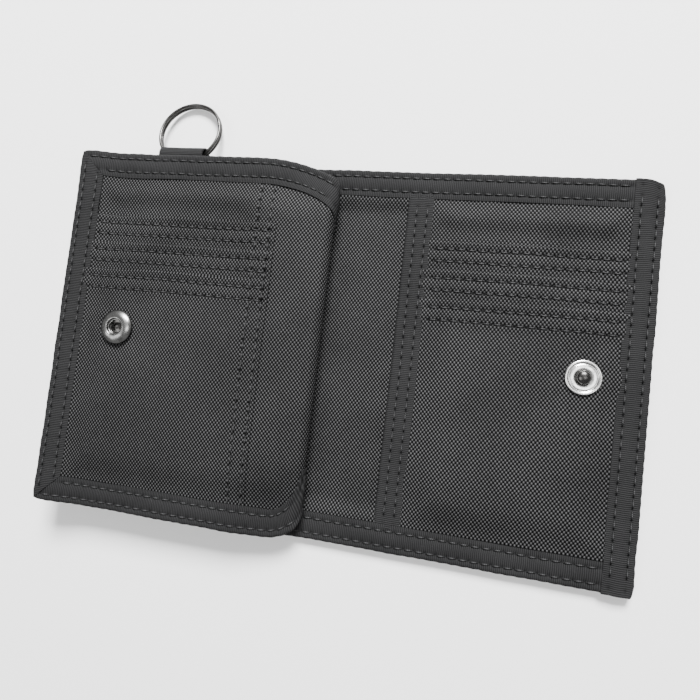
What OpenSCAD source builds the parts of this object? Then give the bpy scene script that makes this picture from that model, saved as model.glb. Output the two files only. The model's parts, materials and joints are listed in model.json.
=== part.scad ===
// Bifold wallet in ballistic nylon with grosgrain bindings, shown lying open.
// The left cover carries a bound pouch leaf, the right cover a note pocket;
// both have card slots. A narrow spine joins the covers with two fold lines.
// X runs across the open wallet, Y up its height, Z off the table it lies on.
// The origin is at the middle of the underside. All sizes are in millimetres.

/* [Wallet] */
// Width of the wallet when it lies open
wallet_w = 203.4; // [196:0.2:212]
// Height of the wallet
wallet_h = 130; // [124:1:136]
// Distance of the snap stud from the right edge
stud_inset = 20.2; // [18:0.2:24]
// Distance of the snap socket from the left edge
socket_inset = 24.2; // [22:0.2:28]
// Distance from the right edge to the taped mouth of the note pocket
pocket_w = 80.9; // [76:0.1:84]

/* [Fabric] */
// Thickness of the outer fabric
shell_t = 0.6; // [0.5:0.05:0.7]
// Thickness of the lining
lining_t = 0.3; // [0.2:0.05:0.4]
// Thickness of the note pocket panel and of each card slot
panel_t = 0.4; // [0.3:0.05:0.5]
// Thickness of the front pockets and of the leaf wrap
front_t = 0.5; // [0.4:0.05:0.6]
// Room left for notes behind the right panel
note_gap = 0.6; // [0.5:0.1:1.2]

/* [Bindings] */
// Thickness of the grosgrain tape
tape_t = 0.5; // [0.4:0.05:0.6]
// Width of the binding that shows on each face
bind_w = 9.5; // [8:0.5:10]
// Width of the tape that shows on the note pocket mouth
mouth_w = 8.8; // [6.6:0.2:9]

/* [Card slots] */
// Distance from the top edge to the first slot mouth
slot_top = 24; // [22:0.5:28]
// Step from one slot mouth to the next
slot_step = 10; // [8:0.5:12]
// Height of each card slot panel
slot_depth = 76; // [60:1:80]

/* [Pouch leaf] */
// Height of the pouch from its back to its front
leaf_h = 7.2; // [6.4:0.1:8]
// Radius of the two corners next to the spine
leaf_corner_r = 17; // [15:0.5:18]
// Height of the bound edge of the leaf
leaf_edge_h = 2.8; // [2.6:0.1:3.2]
// How far the pouch back is set in from the top and bottom edges
gusset_in = 8.7; // [8.5:0.1:10]
// How far the slot area stops short of the leaf's fold
fold_strip = 19; // [16:0.5:24]

/* [Snap] */
// Outside diameter of the socket
socket_d = 12.2; // [11:0.2:13]
// Height of the socket above the fabric
socket_h = 2.4; // [2.2:0.1:2.8]
// Diameter of the hole in the socket
socket_bore = 5.7; // [5.6:0.1:6]
// Outside diameter of the stud flange
stud_d = 11.2; // [10:0.2:13]
// Height of the stud flange
stud_flange_h = 0.9; // [0.7:0.1:1]
// Diameter of the stud ball
stud_ball_d = 4.9; // [4.6:0.1:5]
// Height of the stud ball above the fabric
stud_h = 2.7; // [2.5:0.1:2.8]

/* [Ring] */
// Outside diameter of the split ring
ring_d = 25; // [24:0.5:28]
// Diameter of the ring wire
ring_wire = 1.2; // [1:0.1:1.4]
// Width of the tape loop
loop_w = 16; // [14:0.5:16.5]
// Inside radius of the tape loop
loop_r = 2.6; // [2.6:0.1:2.7]
// Thickness of the tape in the loop
loop_t = 0.7; // [0.5:0.05:0.7]
// Distance of the loop's middle from the left edge
loop_inset = 37; // [32:0.5:45]

/* [Hidden] */
$fn = 72;
gap = 0.1;            // between layers of one body
body_gap = 0.3;       // between bodies that move past each other

half_w = wallet_w / 2;
half_h = wallet_h / 2;
stud_x = half_w - stud_inset;
socket_x = -(half_w - socket_inset);
panel_x = half_w - pocket_w;

// layers of the covers, from the underside up
z_shell = tape_t;
z_lining = z_shell + shell_t + gap;
z_panel = z_lining + lining_t + note_gap;
z_slot1 = z_panel + panel_t + gap;
z_slot2 = z_slot1 + panel_t + gap;
z_front = z_slot2 + panel_t + gap;
z_right = z_front + front_t;
edge_h = z_slot1 + tape_t;
inset = tape_t + gap; // from the outer edge to the layers inside a binding

// layers of the leaf
leaf_z = edge_h + body_gap + gap;
leaf_top = leaf_z + leaf_h;
leaf_slot1 = leaf_top + gap;
leaf_slot2 = leaf_slot1 + panel_t + gap;
leaf_front = leaf_slot2 + panel_t + gap;
leaf_face = leaf_front + front_t;
leaf_edge_z = leaf_top + gap + tape_t - leaf_edge_h;

// fold lines: the spine is as wide as the stack that it wraps
pivot_z = edge_h + gap;
spine_w = leaf_face + socket_h + body_gap + stud_flange_h + z_right - 2 * pivot_z;
spine_mid = (stud_x + socket_x) / 2;
fold_a = spine_mid - spine_w / 2;
fold_b = spine_mid + spine_w / 2;
fold_gap = body_gap / 2;

// outline of the leaf
leaf_x0 = -half_w;
leaf_x1 = fold_a + pivot_z - z_lining - lining_t - body_gap - gap;
leaf_roll_r = leaf_h / 2;
leaf_slot_x1 = leaf_x1 - fold_strip;
corner_x = leaf_x1 - leaf_corner_r;
corner_y = half_h - leaf_corner_r;
belly_y = half_h - gusset_in;
wall_x = leaf_x0 + 1.6;

// ring and its loop
loop_x = -half_w + loop_inset;
loop_y = half_h + 1.5;
loop_z = leaf_edge_z - body_gap - loop_r - loop_t + 0.3;
ring_r = (ring_d - ring_wire) / 2;
ring_in_r = ring_d / 2 - ring_wire;
ring_arm = (ring_d / 2 + sqrt(ring_in_r * ring_in_r - loop_w * loop_w / 4)) / 2;
ring_drop = asin((loop_z - ring_wire - gap) / (ring_arm + ring_d / 2));

fabric_color = [0.13, 0.13, 0.14];
slot_color = [0.17, 0.17, 0.18];
lining_color = [0.10, 0.10, 0.11];
tape_color = [0.24, 0.24, 0.25];
metal_color = [0.62, 0.62, 0.63];
dark_metal_color = [0.28, 0.27, 0.26];

// a flat layer between two corners
module layer(x0, x1, y0, y1, z, t) {
    translate([x0, y0, z]) cube([x1 - x0, y1 - y0, t]);
}

// binding folded over a top (side = 1) or bottom (side = -1) edge
module edge_along_x(x0, x1, side, z, h) {
    y_out = side * half_h;
    y_in = side * (half_h - bind_w);
    difference() {
        layer(x0, x1, min(y_in, y_out), max(y_in, y_out), z, h);
        translate([0, side * -tape_t, 0])
            layer(x0 - 1, x1 + 1, min(y_in, y_out) - (side < 0 ? 0 : 1),
                  max(y_in, y_out) + (side < 0 ? 1 : 0), z + tape_t, h - 2 * tape_t);
    }
}

// binding folded over a left (side = -1) or right (side = 1) edge
module edge_along_y(side, z, h) {
    x_out = side * half_w;
    x_in = side * (half_w - bind_w);
    difference() {
        layer(min(x_in, x_out), max(x_in, x_out), -half_h, half_h, z, h);
        translate([side * -tape_t, 0, 0])
            layer(min(x_in, x_out) - (side < 0 ? 0 : 1),
                  max(x_in, x_out) + (side < 0 ? 1 : 0),
                  -half_h + tape_t, half_h - tape_t, z + tape_t, h - 2 * tape_t);
    }
}

// outer fabric: its edge lies inside the bindings, its middle on the table
module outer_fabric(x0, x1, rest_x0, rest_x1) {
    rest_y = half_h - bind_w - gap;
    layer(x0, x1, -half_h + inset, half_h - inset, z_shell, shell_t);
    layer(rest_x0, rest_x1, -rest_y, rest_y, 0, z_shell + 0.1);
}

// hole for the post of a snap
module post_hole(x) {
    translate([x, 0, -1]) cylinder(d = 4.4, h = 30);
}

// ---------------------------------------------------------------- left cover
module left_outer_shell() {
    x1 = fold_a - fold_gap;
    color(fabric_color)
        outer_fabric(-half_w + inset, x1, -half_w + bind_w + gap, x1);
}

module left_lining() {
    color(lining_color)
        layer(-half_w + inset, fold_a - fold_gap, -half_h + inset, half_h - inset,
              z_lining, lining_t);
}

module left_binding_top() {
    color(tape_color)
        edge_along_x(-half_w + bind_w + gap, fold_a - fold_gap, 1, 0, edge_h);
}

module left_binding_bottom() {
    color(tape_color)
        edge_along_x(-half_w + bind_w + gap, fold_a - fold_gap, -1, 0, edge_h);
}

module left_binding_side() {
    color(tape_color) edge_along_y(-1, 0, edge_h);
}

// tape folded round the ring, its two ends sewn down on the top binding
module ring_loop() {
    tab_y = half_h - gusset_in + 0.9;
    tab_z = edge_h + gap / 2;
    color(tape_color)
        translate([loop_x - loop_w / 2, 0, 0])
        rotate([90, 0, 90])
        linear_extrude(loop_w)
        difference() {
            union() {
                translate([loop_y, loop_z]) circle(loop_r + loop_t);
                translate([tab_y, tab_z])
                    square([loop_y - loop_r - tab_y + 0.1, 2 * loop_t]);
            }
            translate([loop_y, loop_z]) circle(loop_r);
            translate([half_h - 10, tab_z - 10]) square([10.05, 10]);
        }
}

// ---------------------------------------------------------------- pouch leaf
module leaf_outline(grow) {
    union() {
        translate([leaf_x0 - grow, -half_h - grow])
            square([corner_x - leaf_x0 + grow, wallet_h + 2 * grow]);
        translate([leaf_x0 - grow, -corner_y])
            square([leaf_x1 - leaf_x0 + 2 * grow, 2 * corner_y]);
        for (side = [-1, 1])
            translate([corner_x, side * corner_y]) circle(leaf_corner_r + grow);
    }
}

// one piece of fabric: front, fold at the spine side, and back
module leaf_wrap() {
    roll_x = leaf_x1 - leaf_roll_r;
    color(fabric_color)
    difference() {
        union() {
            translate([0, 0, leaf_top - front_t])
                linear_extrude(front_t)
                intersection() {
                    leaf_outline(-inset);
                    layer2d(leaf_x0, roll_x, half_h);
                }
            for (side = [-1, 1])
                translate([0, 0, leaf_top - front_t])
                    linear_extrude(front_t)
                    intersection() {
                        leaf_outline(-inset);
                        translate([roll_x - 1, side * half_h / 2 + side * corner_y / 2])
                            square([30, half_h - corner_y], center = true);
                    }
            layer(wall_x + front_t + gap, roll_x, -belly_y, belly_y, leaf_z, front_t);
            translate([roll_x, corner_y, leaf_z + leaf_roll_r])
                rotate([90, 0, 0])
                linear_extrude(2 * corner_y)
                difference() {
                    circle(leaf_roll_r);
                    circle(leaf_roll_r - front_t);
                    translate([-20, -10]) square([20, 20]);
                }
        }
        post_hole(socket_x);
    }
}

module layer2d(x0, x1, y) {
    translate([x0, -y]) square([x1 - x0, 2 * y]);
}

// flat inner bag that fills the pouch
module leaf_lining_bag() {
    x1 = leaf_x1 - leaf_roll_r;
    y = belly_y - front_t - 2 * gap;
    z0 = leaf_z + front_t + gap;
    z1 = leaf_top - front_t - gap;
    neck_y = half_h - bind_w - 2 * gap;
    color(lining_color)
    difference() {
        union() {
            layer(wall_x + front_t + 2 * gap, corner_x, -y, y,
                  z0, leaf_edge_z - gap - z0);
            layer(corner_x - 1, x1, -corner_y, corner_y, z0, z1 - z0);
            layer(leaf_x0 + bind_w + 2 * gap, corner_x, -neck_y, neck_y,
                  z0, z1 - z0);
        }
        translate([socket_x, 0, leaf_top - front_t - 0.9])
            cylinder(d = socket_d + 0.6, h = 2);
    }
}

// side strip of the pouch, between its back and its bound edge
module leaf_gusset() {
    z0 = leaf_z + front_t + gap;
    h = leaf_edge_z - gap - z0;
    x1 = corner_x + 4;
    color(fabric_color)
    difference() {
        layer(wall_x, x1, -belly_y, belly_y, z0, h);
        layer(wall_x + front_t, x1 + 1, -belly_y + front_t, belly_y - front_t,
              z0 - 1, h + 2);
    }
}

module leaf_slot(mouth, z, t, deep) {
    difference() {
        layer(leaf_x0 + bind_w + gap, leaf_slot_x1,
              max(mouth - deep, -half_h + bind_w + gap), mouth, z, t);
        post_hole(socket_x);
    }
}

module leaf_card_slot_1() {
    color(slot_color) leaf_slot(half_h - slot_top, leaf_slot1, panel_t, slot_depth);
}

module leaf_card_slot_2() {
    color(slot_color)
        leaf_slot(half_h - slot_top - slot_step, leaf_slot2, panel_t, slot_depth);
}

module leaf_front_pocket() {
    color(fabric_color)
        leaf_slot(half_h - slot_top - 2 * slot_step, leaf_front, front_t, wallet_h);
}

// half of the binding that runs along an edge and round the spine corner
module leaf_edge(side) {
    module strip() {
        edge_along_x(leaf_x0 + bind_w + gap, corner_x, side, leaf_edge_z, leaf_edge_h);
    }
    module corner() {
        translate([corner_x, side * corner_y, leaf_edge_z])
        intersection() {
            rotate_extrude()
                difference() {
                    translate([leaf_corner_r - bind_w, 0])
                        square([bind_w, leaf_edge_h]);
                    translate([leaf_corner_r - bind_w - 1, tape_t])
                        square([bind_w + 1 - tape_t, leaf_edge_h - 2 * tape_t]);
                }
            translate([0, side > 0 ? gap : -30 - gap, -1]) cube([30, 30, 10]);
        }
    }
    strip();
    corner();
}

module leaf_binding_top() {
    color(tape_color) leaf_edge(1);
}

module leaf_binding_bottom() {
    color(tape_color) leaf_edge(-1);
}

module leaf_binding_side() {
    color(tape_color) edge_along_y(-1, leaf_edge_z, leaf_edge_h);
}

// ------------------------------------------------------------------ snap pair
module snap_socket() {
    r = socket_d / 2;
    b = socket_bore / 2;
    spring_z = socket_h / 2;
    color(metal_color)
    translate([socket_x, 0, leaf_face])
    difference() {
        rotate_extrude()
            polygon([[0, 0], [r - 0.5, 0], [r, 0.4], [r, 1.1], [r - 0.5, 1.5],
                     [r - 1.5, 1.6], [r - 1.8, socket_h], [b + 0.35, socket_h],
                     [b, socket_h - 0.35], [b, 0.25], [0, 0.25]]);
        translate([0, 0, spring_z])
            rotate_extrude() translate([b + 0.25, 0]) circle(0.35);
    }
}

// wire ring in the groove of the socket that grips the ball
module snap_socket_spring() {
    color(dark_metal_color)
    translate([socket_x, 0, leaf_face + socket_h / 2])
        rotate_extrude() translate([socket_bore / 2 + 0.25, 0]) circle(0.24);
}

// rivet that holds the socket, with its flange inside the pouch
module snap_socket_post() {
    z0 = leaf_top - front_t - gap - 0.6;
    color(metal_color)
    translate([socket_x, 0, z0]) {
        cylinder(d = socket_d - 1.6, h = 0.6);
        cylinder(d = 3.8, h = leaf_face - z0 - 0.02);
    }
}

module snap_stud() {
    r = stud_d / 2;
    b = stud_ball_d / 2;
    color(metal_color)
    translate([stud_x, 0, z_right])
        rotate_extrude()
        polygon([[0, 0], [r - 0.3, 0], [r, 0.3], [r - 0.2, 0.7],
                 [r - 0.7, stud_flange_h], [r - 1.4, stud_flange_h - 0.15],
                 [r - 2, 0.45], [b - 0.4, 0.45], [b - 0.5, 1], [b, 1.6],
                 [b - 0.15, stud_h - 0.55], [b - 0.7, stud_h - 0.1],
                 [b - 1.2, stud_h], [0, stud_h]]);
}

// rivet that holds the stud, with its flange inside the note pocket
module snap_stud_post() {
    flange_z = z_lining + lining_t + gap;
    color(metal_color)
    translate([stud_x, 0, flange_z]) {
        cylinder(d = stud_d - 1, h = note_gap - 2 * gap);
        cylinder(d = 3.8, h = z_right - flange_z - 0.02);
    }
}

// ---------------------------------------------------------------------- spine
module spine_shell() {
    x0 = fold_a + fold_gap;
    x1 = fold_b - fold_gap;
    color(fabric_color) outer_fabric(x0, x1, x0, x1);
}

module spine_lining() {
    color(fabric_color)
        layer(fold_a + fold_gap, fold_b - fold_gap, -half_h + inset, half_h - inset,
              z_lining, lining_t);
}

module spine_binding_top() {
    color(tape_color)
        edge_along_x(fold_a + fold_gap, fold_b - fold_gap, 1, 0, edge_h);
}

module spine_binding_bottom() {
    color(tape_color)
        edge_along_x(fold_a + fold_gap, fold_b - fold_gap, -1, 0, edge_h);
}

// ---------------------------------------------------------------- right cover
module right_outer_shell() {
    x0 = fold_b + fold_gap;
    color(fabric_color)
        outer_fabric(x0, half_w - inset, x0, half_w - bind_w - gap);
}

module right_lining() {
    color(fabric_color)
        layer(fold_b + fold_gap, half_w - inset, -half_h + inset, half_h - inset,
              z_lining, lining_t);
}

module right_pocket_panel() {
    color(fabric_color)
    difference() {
        layer(panel_x + inset, half_w - inset, -half_h + inset, half_h - inset,
              z_panel, panel_t);
        post_hole(stud_x);
    }
}

// tape folded over the open edge of the note pocket
module right_mouth_tape() {
    y = half_h - bind_w - gap;
    lower_z = z_lining + lining_t + gap / 2;
    color(tape_color)
    difference() {
        layer(panel_x, panel_x + mouth_w, -y, y, lower_z,
              z_slot1 - lower_z + tape_t - 0.05);
        layer(panel_x + tape_t, panel_x + mouth_w + 1, -y - 1, y + 1,
              lower_z + tape_t - gap, z_slot1 - lower_z - tape_t + gap);
    }
}

module right_slot(mouth, z, t, deep) {
    difference() {
        layer(panel_x + mouth_w + gap, half_w - bind_w - gap,
              max(mouth - deep, -half_h + bind_w + gap), mouth, z, t);
        post_hole(stud_x);
    }
}

module right_card_slot_1() {
    color(slot_color) right_slot(half_h - slot_top, z_slot1, panel_t, slot_depth);
}

module right_card_slot_2() {
    color(slot_color)
        right_slot(half_h - slot_top - slot_step, z_slot2, panel_t, slot_depth);
}

module right_front_pocket() {
    color(fabric_color)
        right_slot(half_h - slot_top - 2 * slot_step, z_front, front_t, wallet_h);
}

module right_binding_top() {
    color(tape_color)
        edge_along_x(fold_b + fold_gap, half_w - bind_w - gap, 1, 0, edge_h);
}

module right_binding_bottom() {
    color(tape_color)
        edge_along_x(fold_b + fold_gap, half_w - bind_w - gap, -1, 0, edge_h);
}

module right_binding_side() {
    color(tape_color) edge_along_y(1, 0, edge_h);
}

// ----------------------------------------------------------------------- ring
// two turns of wire, hanging in the loop and lying on the table at its far side
module split_ring() {
    turn = ring_wire / 2;
    color(dark_metal_color)
    translate([loop_x, loop_y, loop_z])
    rotate([-ring_drop, 0, 0])
    translate([0, ring_arm, 0])
    for (side = [-1, 1])
        translate([0, 0, side * (turn - 0.02)])
            rotate_extrude() translate([ring_r, 0]) circle(turn);
}

left_outer_shell();
left_lining();
left_binding_top();
left_binding_bottom();
left_binding_side();
ring_loop();
leaf_wrap();
leaf_lining_bag();
leaf_gusset();
leaf_card_slot_1();
leaf_card_slot_2();
leaf_front_pocket();
leaf_binding_top();
leaf_binding_bottom();
leaf_binding_side();
snap_socket();
snap_socket_spring();
snap_socket_post();
spine_shell();
spine_lining();
spine_binding_top();
spine_binding_bottom();
right_outer_shell();
right_lining();
right_pocket_panel();
right_mouth_tape();
right_card_slot_1();
right_card_slot_2();
right_front_pocket();
right_binding_top();
right_binding_bottom();
right_binding_side();
snap_stud();
snap_stud_post();
split_ring();
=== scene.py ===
import json
import math

import bmesh
import bpy
import numpy as np
from mathutils import Matrix, Vector


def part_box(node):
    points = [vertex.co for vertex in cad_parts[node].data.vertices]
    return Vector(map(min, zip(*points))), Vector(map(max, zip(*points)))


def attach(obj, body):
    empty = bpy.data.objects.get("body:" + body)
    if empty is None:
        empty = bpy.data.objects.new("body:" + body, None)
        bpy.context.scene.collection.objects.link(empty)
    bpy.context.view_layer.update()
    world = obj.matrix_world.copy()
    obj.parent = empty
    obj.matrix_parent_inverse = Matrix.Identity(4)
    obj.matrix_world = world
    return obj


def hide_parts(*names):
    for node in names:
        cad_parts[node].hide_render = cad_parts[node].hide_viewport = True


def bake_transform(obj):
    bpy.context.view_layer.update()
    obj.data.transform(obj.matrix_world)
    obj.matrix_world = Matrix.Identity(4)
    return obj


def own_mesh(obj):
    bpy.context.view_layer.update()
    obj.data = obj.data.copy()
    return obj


# A bifold wallet in ballistic nylon, lying open: its fabric, tape, thread and metal.
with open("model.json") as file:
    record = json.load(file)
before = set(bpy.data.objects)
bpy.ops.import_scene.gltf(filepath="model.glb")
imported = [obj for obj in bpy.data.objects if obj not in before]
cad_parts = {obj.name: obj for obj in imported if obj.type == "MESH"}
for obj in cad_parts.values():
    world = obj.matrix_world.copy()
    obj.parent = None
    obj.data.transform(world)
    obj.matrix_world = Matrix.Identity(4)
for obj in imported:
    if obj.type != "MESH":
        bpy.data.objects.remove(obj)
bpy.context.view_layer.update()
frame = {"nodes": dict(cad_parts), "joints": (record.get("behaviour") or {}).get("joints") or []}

# Measures are in millimetres in the row frame. Meshes are made from them in metres.
MM = 0.001
X, Y, Z = range(3)


def low(node, axis):
    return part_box(node)[0][axis] / MM


def high(node, axis):
    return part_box(node)[1][axis] / MM


def middle(node):
    return np.array([(low(node, axis) + high(node, axis)) / 2 for axis in (X, Y, Z)])


def pivot(joint):
    found = [j for j in frame["joints"] if j["name"] == joint][0]
    return np.array(found["pos_m"]) / MM


# --- places from the frame
half_w = high("right_binding_side", X)
half_h = high("right_binding_side", Y)
bind_w = half_w - low("right_binding_side", X)
cover_top = high("right_binding_side", Z)
tape_t = 0.5
fold_a = pivot("spine_fold")[X]
fold_b = pivot("cover_fold")[X]
spine_mid = (fold_a + fold_b) / 2
lining_top = high("right_lining", Z)

mouth_x = low("right_mouth_tape", X)
mouth_w = high("right_mouth_tape", X) - mouth_x
SLOTS = ("card_slot_1", "card_slot_2", "front_pocket")
slot_mouths = [high(f"right_{slot}", Y) for slot in SLOTS]
slot_lows = [low(f"right_{slot}", Y) for slot in SLOTS]
right_face_z = high("right_front_pocket", Z)
stud = middle("snap_stud")

leaf_top = high("leaf_wrap", Z)
leaf_low = low("leaf_wrap", Z)
roll_r = (leaf_top - leaf_low) / 2
roll_x = high("leaf_wrap", X) - roll_r
leaf_bind_low = low("leaf_binding_side", Z) - leaf_top
leaf_bind_high = high("leaf_binding_side", Z) - leaf_top
apex_p = roll_x + roll_r * math.pi / 2
leaf_slot_x1 = high("leaf_front_pocket", X)
leaf_face_h = high("leaf_front_pocket", Z) - leaf_top
socket = middle("snap_socket")
leaf_hinge_x = pivot("leaf_lift")[X]
loop_pivot = pivot("ring_swing")
ring = middle("split_ring")

# --- sewing measures
STITCH = 3.5            # from one needle hole to the next
THREAD_R = 0.22
EDGE_ROWS = (2.6, 7.4)  # stitch rows on the bindings, from the outer edge
MOUTH_ROWS = (3.1, 6.7)
HEM_ROWS = (2.8, 7.0)   # stitch rows below a slot mouth
SIDE_ROWS = (2.0, 6.6)  # stitch rows that close the slots, from their free side
EDGE_DEPTH = 1.1        # how far a binding's rounded edge reaches in
LEVELS = (1.6, 1.05, 0.55, 0.0)  # how far each layer lies below the face: panel, slots, pocket
CELL = 2.5              # cell of the cloth simulation
HINGE_GAP = 0.3         # between the two legs of the leaf's folded hinge strip
FABRIC_IN = 1.5         # how far inside the tape's edge the covers' fabric ends
FOLDS = {"left_fold": (fold_a, "left_cover", "spine"),
         "right_fold": (fold_b, "spine", "right_cover")}
POUCH_T, NOTE_T, OUTER_T, INNER_T, LINING_T, LOOP_T = 0.42, 0.34, 0.6, 0.4, 0.3, 0.6
HEM_PULL = 0.6          # how deep the needle holes draw the pocket fabric in
SIDE_SLANT = 0.012      # the side rows lean by this much for each mm upward

SIM_SCALE = 0.01        # mm to the simulation's metres: ten times life size
SIM_STEPS = 20
CLOTH = {"vertex_group_mass": "pins", "quality": 6, "mass": 0.25, "tension_stiffness": 12,
         "compression_stiffness": 12, "bending_stiffness": 0.4, "shrink_min": -0.05,
         "use_pressure": True, "uniform_pressure_force": 3.0}


# --- curves
def smooth(t):
    t = np.clip(t, 0, 1)
    return t * t * (3 - 2 * t)


def mix(a, b, t):
    return a + (b - a) * t


def noise(x, y, cell, seed):
    """Smooth random heights from -1 to 1, with one random value for each cell."""
    size = 64
    table = np.random.default_rng(seed).uniform(-1, 1, (size, size))
    u, v = np.broadcast_arrays(np.asarray(x, float) / cell, np.asarray(y, float) / cell)
    i, j = np.floor(u).astype(int), np.floor(v).astype(int)
    fu, fv = smooth(u - i), smooth(v - j)
    near = mix(table[i % size, j % size], table[(i + 1) % size, j % size], fu)
    far = mix(table[i % size, (j + 1) % size], table[(i + 1) % size, (j + 1) % size], fu)
    return mix(near, far, fv)


def spread(start, end, step):
    return np.linspace(start, end, max(2, int(round(abs(end - start) / step)) + 1))


def between_holes(start, end):
    """Places along a seam, close together at each needle hole."""
    first, last = math.floor(start / STITCH), math.ceil(end / STITCH)
    parts = (0, 0.11, 0.28, 0.5, 0.72, 0.89)
    inner = [STITCH * (k + f) for k in range(first, last + 1) for f in parts]
    return np.array([start] + [s for s in inner if start + 0.15 < s < end - 0.15] + [end])


def drawn_in(s, across, rows):
    """1 at the needle holes of the stitch rows, and a shallow groove along each row."""
    hole_gap = s - STITCH * np.round(s / STITCH)
    total = 0.0
    for row in rows:
        total = total + 0.25 * np.exp(-((across - row) / 0.5) ** 2)
        total = total + 0.75 * np.exp(-((across - row) ** 2 + hole_gap ** 2) / 0.46 ** 2)
    return total


# --- meshes
def mesh_piece(name, points, quads, uv, material, sharp=50, stitched=None):
    """One object from points in mm, quads, and a UV map in metres along the fabric."""
    mesh = bpy.data.meshes.new(name)
    mesh.vertices.add(len(points))
    mesh.vertices.foreach_set("co", (points * MM).astype(np.float32).ravel())
    mesh.loops.add(quads.size)
    mesh.loops.foreach_set("vertex_index", quads.astype(np.int32).ravel())
    mesh.polygons.add(len(quads))
    mesh.polygons.foreach_set("loop_start", np.arange(0, quads.size, 4, dtype=np.int32))
    mesh.update(calc_edges=True)
    mesh.validate()
    layer = mesh.uv_layers.new(name="along_fabric")
    layer.data.foreach_set("uv", (uv[quads.ravel()] * MM).astype(np.float32).ravel())
    mesh.polygons.foreach_set("use_smooth", np.ones(len(quads), bool))
    mesh.set_sharp_from_angle(angle=math.radians(sharp))
    if stitched is not None:
        attribute = mesh.attributes.new("stitched", "FLOAT", "POINT")
        attribute.data.foreach_set("value", stitched.astype(np.float32).ravel())
    mesh.materials.append(material)
    made = bpy.data.objects.new(name, mesh)
    bpy.context.scene.collection.objects.link(made)
    return made


def grid_normals(points):
    across = np.gradient(points, axis=0)
    along = np.gradient(points, axis=1)
    normal = np.cross(across, along)
    return normal / np.maximum(np.linalg.norm(normal, axis=2, keepdims=True), 1e-9)


def shell_quads(index):
    """The quads of a closed shell over a grid of points: outer face, inner face and rim."""
    count = index.size
    outer = np.stack([index[:-1, :-1], index[1:, :-1], index[1:, 1:], index[:-1, 1:]], 2)
    outer = outer.reshape(-1, 4)
    border = np.concatenate([index[:-1, 0], index[-1, :-1], index[:0:-1, -1], index[0, :0:-1]])
    after = np.roll(border, -1)
    rim = np.stack([after, border, border + count, after + count], 1)
    return np.concatenate([outer, outer[:, ::-1] + count, rim])


def sheet_piece(name, uv, top, under, material, flip=False, stitched=None):
    """A closed sheet between two grids of points, its outer face and its inner face.

    stitched is 1 where a needle hole pulls the fabric down, 0 away from the seams.
    """
    n, m = top.shape[:2]
    quads = shell_quads(np.arange(n * m).reshape(n, m))
    if flip:
        quads = quads[:, ::-1]
    points = np.concatenate([top.reshape(-1, 3), under.reshape(-1, 3)])
    uv = np.concatenate([uv.reshape(-1, 2)] * 2)
    if stitched is not None:
        stitched = np.concatenate([stitched.ravel()] * 2)
    return mesh_piece(name, points, quads, uv, material, stitched=stitched)


def turned_piece(name, centre, outline, material, steps=72, shade_within=0):
    """A turned metal part: an outline of (radius, height) spun about a vertical axis.

    The last argument is the radius inside which the faces that look up take the black nickel, as painted
    shade in a hole.
    """
    outline = np.array(outline, float)
    turn = np.linspace(0, 2 * math.pi, steps, endpoint=False)
    n = len(outline)
    radius, height = outline[:, 0][None], outline[:, 1][None]
    points = np.stack([
        centre[X] + radius * np.cos(turn)[:, None],
        centre[Y] + radius * np.sin(turn)[:, None],
        centre[Z] + height + 0 * turn[:, None]], 2).reshape(-1, 3)
    index = np.arange(steps * n).reshape(steps, n)
    a, b = index[:, :-1], np.roll(index, -1, 0)[:, :-1]
    c, d = np.roll(index, -1, 0)[:, 1:], index[:, 1:]
    quads = np.stack([a.ravel(), b.ravel(), c.ravel(), d.ravel()], 1)
    uv = np.stack([np.repeat(turn * 4, n), np.tile(np.arange(n) * 0.3, steps)], 1)
    made = mesh_piece(name, points, quads, uv, material, sharp=70)
    weld(made)
    made.data.materials.append(DARK_NICKEL_AND_SHADE)
    for face in made.data.polygons:
        away = (face.center.xy / MM - Vector(centre[:2])).length
        # Painted shade: the faces that look up inside that radius, the floor of a hole, take the black
        # nickel.
        face.material_index = int(away < shade_within and face.normal.z > 0.3)
    return made


def weld(piece):
    """Joins the points that meet on a turned part's axis and turns its faces outward."""
    work = bmesh.new()
    work.from_mesh(piece.data)
    bmesh.ops.remove_doubles(work, verts=work.verts, dist=1e-6)
    bmesh.ops.recalc_face_normals(work, faces=work.faces)
    work.to_mesh(piece.data)
    work.free()


def wire_tube(path, radius, sides=16):
    """Points, quads and UVs of a round wire with closed ends along a path."""
    tangent = np.gradient(path, axis=0)
    tangent /= np.linalg.norm(tangent, axis=1, keepdims=True)
    up = np.array([0.0, 0.0, 1.0])
    side = np.cross(tangent, up)
    side /= np.linalg.norm(side, axis=1, keepdims=True)
    rise = np.cross(side, tangent)
    turn = np.linspace(0, 2 * math.pi, sides, endpoint=False)
    radius = np.broadcast_to(radius, (len(path),))[:, None, None]
    ring_points = path[:, None] + radius * (
        np.cos(turn)[None, :, None] * side[:, None] + np.sin(turn)[None, :, None] * rise[:, None])
    n = len(path)
    index = np.arange(n * sides).reshape(n, sides)
    a, b = index[:-1], index[1:]
    quads = np.stack([a, np.roll(a, -1, 1), np.roll(b, -1, 1), b], 2).reshape(-1, 4)
    caps = [[index[0, 0], index[0, sides - 1 - k], index[0, sides - 2 - k], index[0, sides - 3 - k]]
            for k in range(0, sides - 2, 2)]
    caps += [[index[-1, 0], index[-1, k + 1], index[-1, k + 2], index[-1, k + 3]]
             for k in range(0, sides - 2, 2)]
    length = np.arange(n) * np.linalg.norm(path[1] - path[0])
    uv = np.stack([np.repeat(length, sides), np.tile(turn, n)], 1)
    return ring_points.reshape(-1, 3), np.concatenate([quads, np.array(caps)]), uv


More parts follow.
